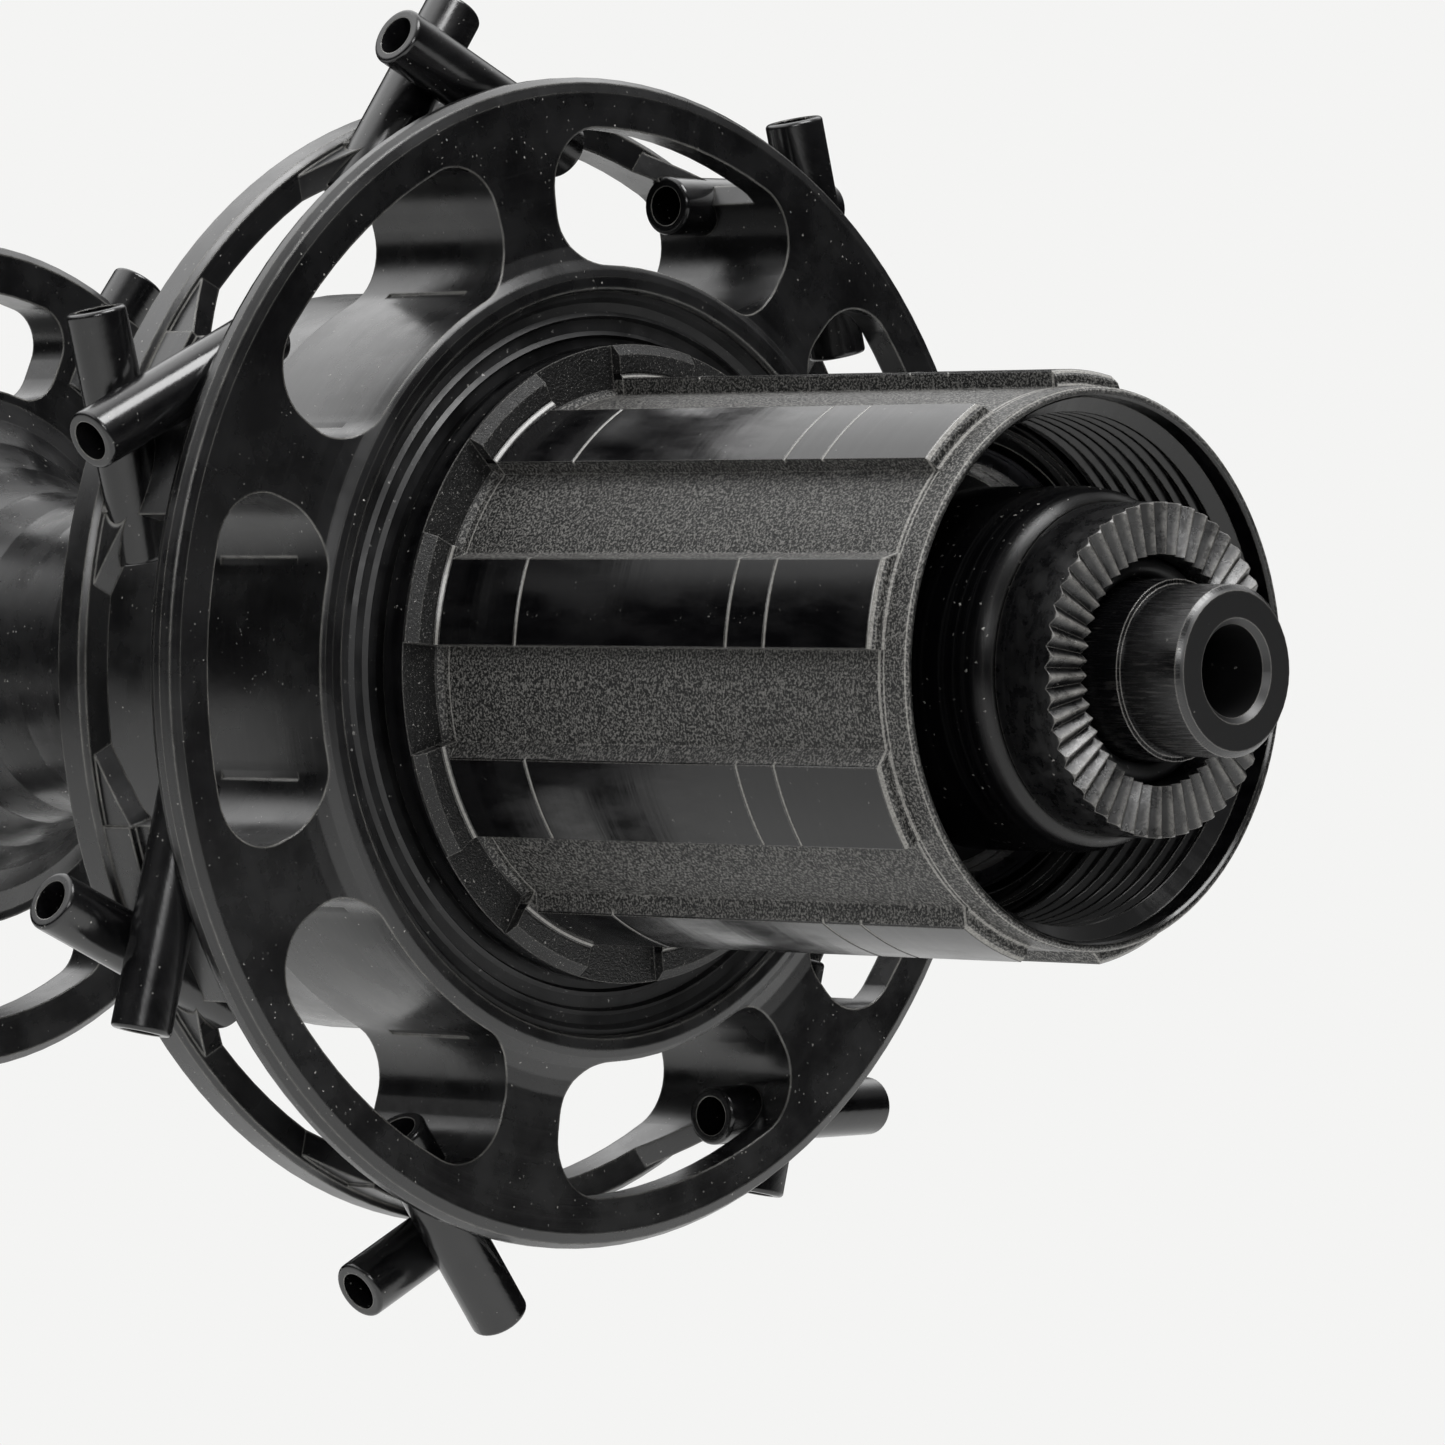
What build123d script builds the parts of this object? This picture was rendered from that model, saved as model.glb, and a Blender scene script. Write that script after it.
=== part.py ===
from build123d import *
import os
from math import cos, radians, sin

# Rear hub, mm. The hub axis is Y, the drive side faces -Y, +X is forward and +Z is up.
# Sketches of turned parts are half sections in the XY plane, so their points are (radius, y).
# "around" angles are measured in the XZ plane from +X towards +Z.

# axle and end nuts
AXLE_END = 70.45
LOCKNUT_FACE = 65.0
SKEWER_R = 2.65
STUB_R = 4.91
NUT_SEAT_R = 5.20
AXLE_R = 8.50
FIT = 0.05
NUT_R = 9.56
NUT_RECESS_R = 6.60
SERRATIONS = 50
SERRATION_DEPTH = 0.48

# freehub body
RIM_Y = -60.05
SHOULDER_Y = -23.30
NOTCH_Y = -22.60
FLANGE_BACK_Y = -20.70
CROWN_R = 17.20
FLOOR_R = 16.20
FLANGE_R = 19.20
SPLINES = 9
SPLINE_ANGLE = 20.0
FLANK_LEAN = 2.6
SPLINE_PHASE = 180.0 - 12.8
CROWN_END_Y = -58.25
ROOT_BEVEL = 0.22
NOTCH_BEVEL = 0.35
THREAD_R = 14.75
THREAD_ROOT_R = 15.30
THREAD_PITCH = 1.058
THREAD_TURNS = 8
THREAD_Y = -58.30
BEARING_26_R = 13.00
DRUM_R = 14.20
DRUM_END_Y = -8.90
NECK_END_Y = -17.90
DRUM_BORE_R = 9.70

# pawls, drawn with the tip up in a tooth, then swung down by PAWL_SWING
PAWLS = 3
PAWL_PIVOT_R = 12.85
PAWL_HEEL_R = 1.60
PAWL_REACH = 27.0
PAWL_TIP_R = 15.60
PAWL_SWING = 11.0
PAWL_POCKET = [(-0.15, 12.0), (-0.15, 15.0), (7.45, 15.0), (7.45, 12.4), (6.3, 10.9), (0.0, 11.25)]
PAWL_Y0, PAWL_Y1 = -16.40, -10.10
SPRING_Y = -13.25
SPRING_R = 13.55
SPRING_WIRE_R = 0.35
WIRE_GROOVE = 1.00

# ratchet ring
TEETH = 36
TOOTH_TIP_R = 14.90
TOOTH_ROOT_R = 15.95
TOOTH_LEAN = 1.55
TOOTH_CREST = 0.80
RATCHET_R = 17.90
RATCHET_Y0, RATCHET_Y1 = -16.90, -9.10

# hub shell
RECESS_R = 22.40
LIP_Y = -21.00
FRONT_DISC_R = 35.30
FRONT_DISC_Y0, FRONT_DISC_Y1 = -20.00, -18.00
REAR_DISC_R = 34.30
REAR_DISC_Y0, REAR_DISC_Y1 = -11.40, -9.00
DRUM_WALL_R = 24.05
SPOKE_GROUPS = 7
WINDOW_R0, WINDOW_R1 = 24.00, 32.25
WINDOW_HALF = 20.7
WINDOW_PHASE = 180.0 + 1.7
BLOCK_HALF = 10.0
BLOCK_STEP_Y = -13.60
BLOCK_FOOT_Y = REAR_DISC_Y0 + 0.10
TUBE_R = 10.00
TUBE_BORE_R = 8.40
FAR_FLANGE_R = 26.90
FAR_FLANGE_Y0, FAR_FLANGE_Y1 = 38.80, 41.80
SHELL_END_Y = 51.60
FAR_PHASE = 58.0

# spoke sockets
SOCKET_R = 1.80
SOCKET_BORE_R = 1.20
CROSS_R = 36.00
CROSS_ANGLE = 51.0
SOCKET_IN, SOCKET_OUT = 9.50, 5.50
OUTER_ROW_Y, INNER_ROW_Y = -15.95, -12.30
NEAR_LEAN = 2.5
FAR_LEAN = 7.4
FAR_SOCKET_Y = 40.30
FAR_SOCKET_R0, FAR_SOCKET_R1 = 21.50, 29.60

# ball bearings on the axle
BEARINGS = {
    "freehub_outer_bearing": {"outer_r": 13.0, "y0": -47.30, "y1": -42.30, "ball_r": 1.39, "balls": 15},
    "freehub_inner_bearing": {"outer_r": 13.0, "y0": -29.00, "y1": -24.00, "ball_r": 1.39, "balls": 15},
    "drive_hub_bearing": {"outer_r": 15.0, "y0": -7.60, "y1": -0.60, "ball_r": 1.98, "balls": 11},
    "nondrive_hub_bearing": {"outer_r": 13.0, "y0": 45.00, "y1": 50.00, "ball_r": 1.39, "balls": 15},
}
LAND_SHARE = 0.58
RACE_GAP = 0.03
SHIELD_INSET = 0.30
SHIELD_T = 0.36


def across(y):
    """The plane that cuts the hub axis at y, with X to the right and Z up; its normal is -Y."""
    return Plane.XZ.offset(-y)


def polar(r, degrees_around):
    a = radians(degrees_around)
    return (r * cos(a), r * sin(a))


def axle():
    with BuildPart() as axle_part:
        with BuildSketch(Plane.XY):
            with BuildLine():
                Polyline(
                    (SKEWER_R + 0.35, -AXLE_END),
                    (STUB_R - 0.35, -AXLE_END),
                    (STUB_R, -AXLE_END + 0.35),
                    (STUB_R, -66.0),
                    (NUT_SEAT_R, -66.0),
                    (NUT_SEAT_R, -57.6),
                    (AXLE_R - 0.3, -57.6),
                    (AXLE_R, -57.3),
                    (AXLE_R, 0.8),
                    (7.4, 1.9),
                    (7.4, 43.2),
                    (AXLE_R, 44.3),
                    (AXLE_R, 57.3),
                    (AXLE_R - 0.3, 57.6),
                    (NUT_SEAT_R, 57.6),
                    (NUT_SEAT_R, 66.0),
                    (STUB_R, 66.0),
                    (STUB_R, AXLE_END - 0.35),
                    (STUB_R - 0.35, AXLE_END),
                    (SKEWER_R + 0.35, AXLE_END),
                    (SKEWER_R, AXLE_END - 0.35),
                    (SKEWER_R, -AXLE_END + 0.35),
                    close=True,
                )
            make_face()
        revolve(axis=Axis.Y)
    axle_part.part.label = "axle"
    export_step(axle_part.part, "parts/axle.step")


def serration_cutter():
    """One tapering V groove along +X at height 0, its mouth open towards +Z."""
    with BuildPart() as cutter:
        for x in (6.0, 10.2):
            half = x * radians(180.0 / SERRATIONS) * 0.94
            with BuildSketch(Plane.YZ.offset(x)):
                with BuildLine():
                    Polyline(
                        (0, -SERRATION_DEPTH),
                        (half, 0),
                        (half, 0.4),
                        (-half, 0.4),
                        (-half, 0),
                        close=True,
                    )
                make_face()
        loft()
    return cutter.part


def locknut(side, name):
    """End nut with a ring of radial teeth on its outer face; side is -1 for the drive end."""
    tooth_gap = serration_cutter()
    outward = across(-LOCKNUT_FACE) if side < 0 else Plane.XZ.rotated((180, 0, 0)).offset(LOCKNUT_FACE)
    with BuildPart(outward) as nut:
        with BuildSketch(Plane.XY):
            with BuildLine():
                Polyline(
                    (NUT_RECESS_R, side * LOCKNUT_FACE),
                    (NUT_R - 0.12, side * LOCKNUT_FACE),
                    (NUT_R, side * (LOCKNUT_FACE - 0.12)),
                    (NUT_R, side * 60.75),
                    (9.25, side * 60.75),
                    (9.25, side * 57.9),
                    (9.0, side * 57.65),
                    (NUT_SEAT_R + FIT, side * 57.65),
                    (NUT_SEAT_R + FIT, side * 62.4),
                    (NUT_RECESS_R, side * 62.4),
                    close=True,
                )
            make_face()
        revolve(axis=Axis.Y)
        with PolarLocations(0, SERRATIONS):
            add(tooth_gap, mode=Mode.SUBTRACT)
    nut.part.label = name
    export_step(nut.part, f"parts/{name}.step")


def axle_o_ring(side, name):
    with BuildPart() as ring:
        with BuildSketch(Plane.XY):
            with Locations((NUT_SEAT_R + 0.69, side * 63.03)):
                Circle(0.62)
        revolve(axis=Axis.Y)
    ring.part.label = name
    export_step(ring.part, f"parts/{name}.step")


def drive_dust_cap():
    with BuildPart() as cap:
        with BuildSketch(Plane.XY):
            with BuildLine():
                Polyline(
                    (9.30, -57.40),
                    (9.30, -60.65),
                    (9.70, -60.65),
                    (10.12, -60.30),
                    (10.38, -59.65),
                    (10.50, -58.80),
                    (10.50, -51.40),
                    (9.90, -49.80),
                    (9.90, -47.30),
                    (AXLE_R + FIT, -47.30),
                    (AXLE_R + FIT, -57.40),
                    close=True,
                )
            make_face()
        revolve(axis=Axis.Y)
    cap.part.label = "drive_dust_cap"
    export_step(cap.part, "parts/drive_dust_cap.step")


def spacer(r0, r1, y0, y1, name, edge=0.15):
    """A plain turned ring with small chamfers on its outer corners."""
    with BuildPart() as ring:
        with BuildSketch(Plane.XY):
            with BuildLine():
                Polyline(
                    (r0, y0),
                    (r1 - edge, y0),
                    (r1, y0 + edge),
                    (r1, y1 - edge),
                    (r1 - edge, y1),
                    (r0, y1),
                    close=True,
                )
            make_face()
        revolve(axis=Axis.Y)
    ring.part.label = name
    export_step(ring.part, f"parts/{name}.step")


def middle(sizes):
    """Pitch radius and middle height of a bearing's balls."""
    return (AXLE_R + sizes["outer_r"]) / 2, (sizes["y0"] + sizes["y1"]) / 2


def bearing_inner_ring(sizes, name):
    pitch_r, mid_y = middle(sizes)
    land_r = pitch_r - LAND_SHARE * sizes["ball_r"]
    with BuildPart() as inner_ring:
        with BuildSketch(Plane.XY):
            with Locations(((AXLE_R + land_r) / 2, mid_y)):
                Rectangle(land_r - AXLE_R, sizes["y1"] - sizes["y0"])
            with Locations((pitch_r, mid_y)):
                Circle(sizes["ball_r"] + RACE_GAP, mode=Mode.SUBTRACT)
        revolve(axis=Axis.Y)
    inner_ring.part.label = name
    export_step(inner_ring.part, f"parts/{name}.step")


def bearing_outer_ring(sizes, name):
    pitch_r, mid_y = middle(sizes)
    land_r = pitch_r + LAND_SHARE * sizes["ball_r"]
    with BuildPart() as outer_ring:
        with BuildSketch(Plane.XY):
            with Locations(((sizes["outer_r"] + land_r) / 2, mid_y)):
                Rectangle(sizes["outer_r"] - land_r, sizes["y1"] - sizes["y0"])
            with Locations((pitch_r, mid_y)):
                Circle(sizes["ball_r"] + RACE_GAP, mode=Mode.SUBTRACT)
        revolve(axis=Axis.Y)
    outer_ring.part.label = name
    export_step(outer_ring.part, f"parts/{name}.step")


def bearing_balls(sizes, name):
    pitch_r, mid_y = middle(sizes)
    with BuildPart(across(mid_y)) as ball_set:
        with PolarLocations(pitch_r, sizes["balls"]):
            Sphere(sizes["ball_r"])
    ball_set.part.label = name
    export_step(ball_set.part, f"parts/{name}.step")


def bearing_cage(sizes, name):
    """A ring that runs between the lands, with a pocket round each ball."""
    pitch_r, mid_y = middle(sizes)
    ball_r = sizes["ball_r"]
    with BuildPart(across(mid_y)) as cage:
        with BuildSketch(Plane.XY):
            with Locations((pitch_r, mid_y)):
                Rectangle(0.7 * ball_r, 2.7 * ball_r)
        revolve(axis=Axis.Y)
        with PolarLocations(pitch_r, sizes["balls"]):
            Cylinder(ball_r + 0.06, 3 * ball_r, rotation=(0, 90, 0), mode=Mode.SUBTRACT)
    cage.part.label = name
    export_step(cage.part, f"parts/{name}.step")


def bearing_shields(sizes, name):
    """Two thin rings pressed into the outer ring, one near each face."""
    pitch_r, mid_y = middle(sizes)
    land_r = pitch_r + LAND_SHARE * sizes["ball_r"]
    inner_r = pitch_r - LAND_SHARE * sizes["ball_r"] + 0.08
    with BuildPart() as shields:
        for y in (sizes["y0"] + SHIELD_INSET, sizes["y1"] - SHIELD_INSET):
            with BuildSketch(Plane.XY):
                with Locations(((inner_r + land_r) / 2, y)):
                    Rectangle(land_r - inner_r, SHIELD_T)
            revolve(axis=Axis.Y)
    shields.part.label = name
    export_step(shields.part, f"parts/{name}.step")


def turned_about(points, centre, clockwise):
    """(x, z) points turned about a centre, clockwise as seen with X right and Z up."""
    c, n = cos(radians(clockwise)), sin(radians(clockwise))
    moved = []
    for x, z in points:
        dx, dz = x - centre[0], z - centre[1]
        moved.append((centre[0] + dx * c + dz * n, centre[1] - dx * n + dz * c))
    return moved


def pawl_turn(index):
    return 360.0 / PAWLS * index


def pawl_pivot(index):
    return turned_about([(0, PAWL_PIVOT_R)], (0, 0), pawl_turn(index))[0]


def pawl(index, name):
    """Lever with a round heel; its tip is forked where the wire spring passes."""
    pivot = (0, PAWL_PIVOT_R)
    lifted = [
        (0.10, PAWL_PIVOT_R + PAWL_HEEL_R - 0.01),
        (4.60, 13.80),
        polar(PAWL_TIP_R, 90 - PAWL_REACH),
        polar(PAWL_TIP_R - 1.7, 90 - PAWL_REACH),
        (-0.25, PAWL_PIVOT_R - PAWL_HEEL_R + 0.03),
    ]
    rest = turned_about(lifted, pivot, PAWL_SWING)
    # the wire's circle as the lever meets it at rest and when it is lifted
    wire_centres = [(0, 0), turned_about([(0, 0)], pivot, PAWL_SWING)[0]]
    with BuildPart() as one_pawl:
        with BuildSketch(across(PAWL_Y1)):
            with Locations(pawl_pivot(index)):
                Circle(PAWL_HEEL_R)
            with BuildLine():
                Polyline(*turned_about(rest, (0, 0), pawl_turn(index)), close=True)
            make_face()
        extrude(amount=PAWL_Y1 - PAWL_Y0)
        for centre in turned_about(wire_centres, (0, 0), pawl_turn(index)):
            with BuildSketch(across(SPRING_Y + WIRE_GROOVE / 2)):
                with Locations(centre):
                    Circle(20)
                    Circle(SPRING_R - WIRE_GROOVE / 2, mode=Mode.SUBTRACT)
            extrude(amount=WIRE_GROOVE, mode=Mode.SUBTRACT)
    one_pawl.part.label = name
    export_step(one_pawl.part, f"parts/{name}.step")


def pawl_spring():
    """An open wire ring that lies in a groove round the drum and over the pawls."""
    with BuildPart() as spring:
        with BuildSketch(Plane.XY):
            with Locations((SPRING_R, SPRING_Y)):
                Circle(SPRING_WIRE_R)
        revolve(axis=Axis.Y)
        with BuildSketch(across(SPRING_Y + 1)):
            with Locations(polar(SPRING_R, 90 + 42)):
                Rectangle(2.4, 2.4, rotation=42)
        extrude(amount=2, mode=Mode.SUBTRACT)
    spring.part.label = "pawl_spring"
    export_step(spring.part, "parts/pawl_spring.step")


def scribed_line(y):
    """A fine V turned into the crowns at y."""
    return [(CROWN_R, y - 0.12), (CROWN_R - 0.14, y), (CROWN_R, y + 0.12)]


def freehub_body():
    groove_end_y = CROWN_END_Y - ROOT_BEVEL - 0.05
    with BuildPart() as body:
        # turned blank: rim lip, crowns with three scribed lines, flange, neck and pawl drum
        with BuildSketch(Plane.XY):
            with BuildLine():
                Polyline(
                    (15.75, RIM_Y),
                    (FLOOR_R - 0.22, RIM_Y),
                    (FLOOR_R, RIM_Y + 0.22),
                    (FLOOR_R, CROWN_END_Y - ROOT_BEVEL),
                    (FLOOR_R + ROOT_BEVEL, CROWN_END_Y),
                    (CROWN_R - 0.36, CROWN_END_Y),
                    (CROWN_R, CROWN_END_Y + 0.36),
                    *scribed_line(-49.91),
                    *scribed_line(-46.91),
                    *scribed_line(-29.84),
                    (CROWN_R, SHOULDER_Y - ROOT_BEVEL),
                    (CROWN_R + ROOT_BEVEL, SHOULDER_Y),
                    (18.60, SHOULDER_Y),
                    (FLANGE_R, -22.75),
                    (FLANGE_R, FLANGE_BACK_Y - 0.25),
                    (FLANGE_R - 0.25, FLANGE_BACK_Y),
                    (16.25, FLANGE_BACK_Y),
                    (16.25, NECK_END_Y),
                    (DRUM_R, NECK_END_Y),
                    (DRUM_R, SPRING_Y - WIRE_GROOVE / 2),
                    (SPRING_R - WIRE_GROOVE / 2, SPRING_Y - WIRE_GROOVE / 2),
                    (SPRING_R - WIRE_GROOVE / 2, SPRING_Y + WIRE_GROOVE / 2),
                    (DRUM_R, SPRING_Y + WIRE_GROOVE / 2),
                    (DRUM_R, DRUM_END_Y - 0.3),
                    (DRUM_R - 0.3, DRUM_END_Y),
                    (DRUM_BORE_R, DRUM_END_Y),
                    (DRUM_BORE_R, -24.0),
                    (BEARING_26_R, -24.0),
                    (BEARING_26_R, -47.30),
                    (13.75, -47.30),
                    (13.75, -48.40),
                    (BEARING_26_R, -48.40),
                    (BEARING_26_R, -48.9),
                    (13.4, -49.3),
                    (14.2, -49.3),
                    (14.2, -49.9),
                    (THREAD_ROOT_R, -49.9),
                    *thread_points(),
                    (15.6, THREAD_Y - 0.35),
                    (15.6, RIM_Y + 0.15),
                    close=True,
                )
            make_face()
        revolve(axis=Axis.Y)
        # spline grooves, each run out as a notch in the flange
        for index in range(SPLINES):
            start = SPLINE_PHASE + 360.0 / SPLINES * index + SPLINE_ANGLE / 2
            with BuildSketch(Plane.XY.rotated((0, -start, 0))):
                with BuildLine():
                    Polyline(
                        (FLOOR_R, groove_end_y),
                        (20, groove_end_y),
                        (20, NOTCH_Y),
                        (FLOOR_R + NOTCH_BEVEL, NOTCH_Y),
                        (FLOOR_R, NOTCH_Y - NOTCH_BEVEL),
                        close=True,
                    )
                make_face()
            revolve(axis=Axis.Y, revolution_arc=SPLINE_ANGLE - 360.0 / SPLINES, mode=Mode.SUBTRACT)
            # the flank that faces up on the near side leans back to the crown
            flank = [
                polar(FLOOR_R, start + SPLINE_ANGLE),
                polar(FLOOR_R + 1.4, start + SPLINE_ANGLE + 1.4 * FLANK_LEAN),
                polar(FLOOR_R + 1.4, start + SPLINE_ANGLE - 1.0),
            ]
            with BuildSketch(across(SHOULDER_Y - ROOT_BEVEL)):
                with BuildLine():
                    Polyline(*flank, close=True)
                make_face()
            extrude(amount=SHOULDER_Y - ROOT_BEVEL - groove_end_y, mode=Mode.SUBTRACT)
        # pawl pockets, open outwards
        for index in range(PAWLS):
            with BuildSketch(across(PAWL_Y1 + 0.2)):
                with Locations(pawl_pivot(index)):
                    Circle(PAWL_HEEL_R + FIT)
            extrude(amount=PAWL_Y1 - PAWL_Y0 + 0.4, mode=Mode.SUBTRACT)
            with BuildSketch(across(PAWL_Y1 + 0.2)):
                with BuildLine():
                    Polyline(*turned_about(PAWL_POCKET, (0, 0), pawl_turn(index)), close=True)
                make_face()
            extrude(amount=PAWL_Y1 - PAWL_Y0 + 0.4, mode=Mode.SUBTRACT)
    body.part.label = "freehub_body"
    export_step(body.part, "parts/freehub_body.step")


def thread_points():
    """Lockring thread as rings: V roots between flat crests, from the inner end outwards."""
    points = [(THREAD_R, -49.9 - (THREAD_ROOT_R - THREAD_R) * 0.6)]
    for turn in reversed(range(THREAD_TURNS - 1)):
        y = THREAD_Y + THREAD_PITCH * (turn + 0.85)
        points.append((THREAD_R, y + 0.40))
        points.append((THREAD_ROOT_R, y + 0.06))
        points.append((THREAD_ROOT_R, y - 0.06))
        points.append((THREAD_R, y - 0.40))
    points.append((THREAD_R, THREAD_Y + 0.25))
    return points


def freehub_circlip():
    """Open retaining ring; its gap faces down."""
    with BuildPart() as clip:
        with BuildSketch(across(-47.35)):
            Circle(13.72)
            Circle(12.15, mode=Mode.SUBTRACT)
            with Locations((0, -13)):
                Rectangle(5.0, 3.4, mode=Mode.SUBTRACT)
        extrude(amount=1.0)
    clip.part.label = "freehub_circlip"
    export_step(clip.part, "parts/freehub_circlip.step")


def ratchet_ring():
    pitch = 360.0 / TEETH
    steep = 90 - PAWL_REACH - 0.35
    points = []
    for tooth in range(TEETH):
        a = steep - pitch * tooth
        points.append(polar(TOOTH_ROOT_R, a))
        points.append(polar(TOOTH_TIP_R, a - TOOTH_LEAN))
        points.append(polar(TOOTH_TIP_R, a - TOOTH_LEAN - TOOTH_CREST))
        points.append(polar(TOOTH_ROOT_R, a - 8.3))
    with BuildPart() as ring:
        with BuildSketch(across(RATCHET_Y1)):
            Circle(RATCHET_R)
            with BuildLine():
                Polyline(*points, close=True)
            make_face(mode=Mode.SUBTRACT)
        extrude(amount=RATCHET_Y1 - RATCHET_Y0)
    ring.part.label = "ratchet_ring"
    export_step(ring.part, "parts/ratchet_ring.step")


def recess_seal():
    """Rubber ring in the mouth of the shell, with fine ribs on its outer face."""
    with BuildPart() as seal:
        with BuildSketch(Plane.XY):
            with BuildLine():
                Polyline(
                    (16.30, -17.60),
                    (16.30, -18.40),
                    (17.30, -19.60),
                    (18.90, -20.05),
                    (19.60, -20.05),
                    (19.80, -20.30),
                    (20.05, -20.05),
                    (20.75, -20.05),
                    (20.95, -20.35),
                    (21.20, -20.10),
                    (21.75, -20.20),
                    (22.05, -20.50),
                    (RECESS_R, -20.50),
                    (RECESS_R, -17.40),
                    (18.2, -17.40),
                    (17.2, -17.60),
                    close=True,
                )
            make_face()
        revolve(axis=Axis.Y)
    seal.part.label = "recess_seal"
    export_step(seal.part, "parts/recess_seal.step")


def window_face(r0, r1, half, corner):
    """A kidney-shaped window centred on +X, as a sketch."""
    with BuildSketch() as window:
        Circle(r1)
        Circle(r0, mode=Mode.SUBTRACT)
        with BuildLine():
            Polyline(
                (0, 0),
                polar(60, half),
                (80, 0),
                polar(60, -half),
                close=True,
            )
        make_face(mode=Mode.INTERSECT)
        fillet(window.vertices(), corner)
    return window.sketch


def block_face(r0, r1, half):
    with BuildSketch() as block:
        Circle(r1)
        Circle(r0, mode=Mode.SUBTRACT)
        with BuildLine():
            Polyline(
                (0, 0),
                polar(60, half),
                (80, 0),
                polar(60, -half),
                close=True,
            )
        make_face(mode=Mode.INTERSECT)
    return block.sketch


def gusset():
    """Where a block widens into the rear disc; local X is radial and local Z is outboard."""
    with BuildPart() as wedge:
        with BuildSketch(Plane.YZ.offset(27)):
            with BuildLine():
                Polyline(
                    (-10.0, -BLOCK_FOOT_Y),
                    (10.0, -BLOCK_FOOT_Y),
                    (10.0, -REAR_DISC_Y0),
                    (5.7, -BLOCK_STEP_Y),
                    (-5.7, -BLOCK_STEP_Y),
                    (-10.0, -REAR_DISC_Y0),
                    close=True,
                )
            make_face()
        extrude(amount=10)
        with BuildSketch(Plane.XY.offset(9)):
            Circle(REAR_DISC_R - 0.6)
            Circle(31.5, mode=Mode.SUBTRACT)
        extrude(amount=5, mode=Mode.INTERSECT)
    return wedge.part


def near_socket_axes():
    """Start point and unit direction of each drive-side socket, outer row then inner row."""
    axes = []
    for row_y, sense in ((OUTER_ROW_Y, 1), (INNER_ROW_Y, -1)):
        for group in range(SPOKE_GROUPS):
            around = WINDOW_PHASE + 360.0 / SPOKE_GROUPS * (group + 0.5)
            cross_x, cross_z = polar(CROSS_R, around)
            dx, dz = polar(cos(radians(NEAR_LEAN)), around + sense * CROSS_ANGLE)
            direction = Vector(dx, sin(radians(NEAR_LEAN)), dz)
            start = Vector(cross_x, row_y, cross_z) - direction * SOCKET_IN
            axes.append((start, direction))
    return axes


def far_socket_axes():
    axes = []
    for group in range(SPOKE_GROUPS):
        around = FAR_PHASE + 360.0 / SPOKE_GROUPS * group
        dx, dz = polar(cos(radians(FAR_LEAN)), around)
        direction = Vector(dx, -sin(radians(FAR_LEAN)), dz)
        x, z = polar(FAR_SOCKET_R0, around)
        start = Vector(x, FAR_SOCKET_Y + 0.25, z)
        axes.append((start, direction))
    return axes


def spoke_sockets(axes, length, name):
    """Turned barrels with a rounded outer mouth and a through bore."""
    with BuildPart() as sockets:
        for start, direction in axes:
            with BuildSketch(Plane(origin=start, z_dir=direction)):
                Circle(SOCKET_R)
            extrude(amount=length)
        fillet(sockets.edges().filter_by(GeomType.CIRCLE).group_by(lambda e: -e.length)[0], 0.25)
        for start, direction in axes:
            with BuildSketch(Plane(origin=start - direction, z_dir=direction)):
                Circle(SOCKET_BORE_R)
            extrude(amount=length + 2, mode=Mode.SUBTRACT)
    sockets.part.label = name
    export_step(sockets.part, f"parts/{name}.step")


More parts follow.
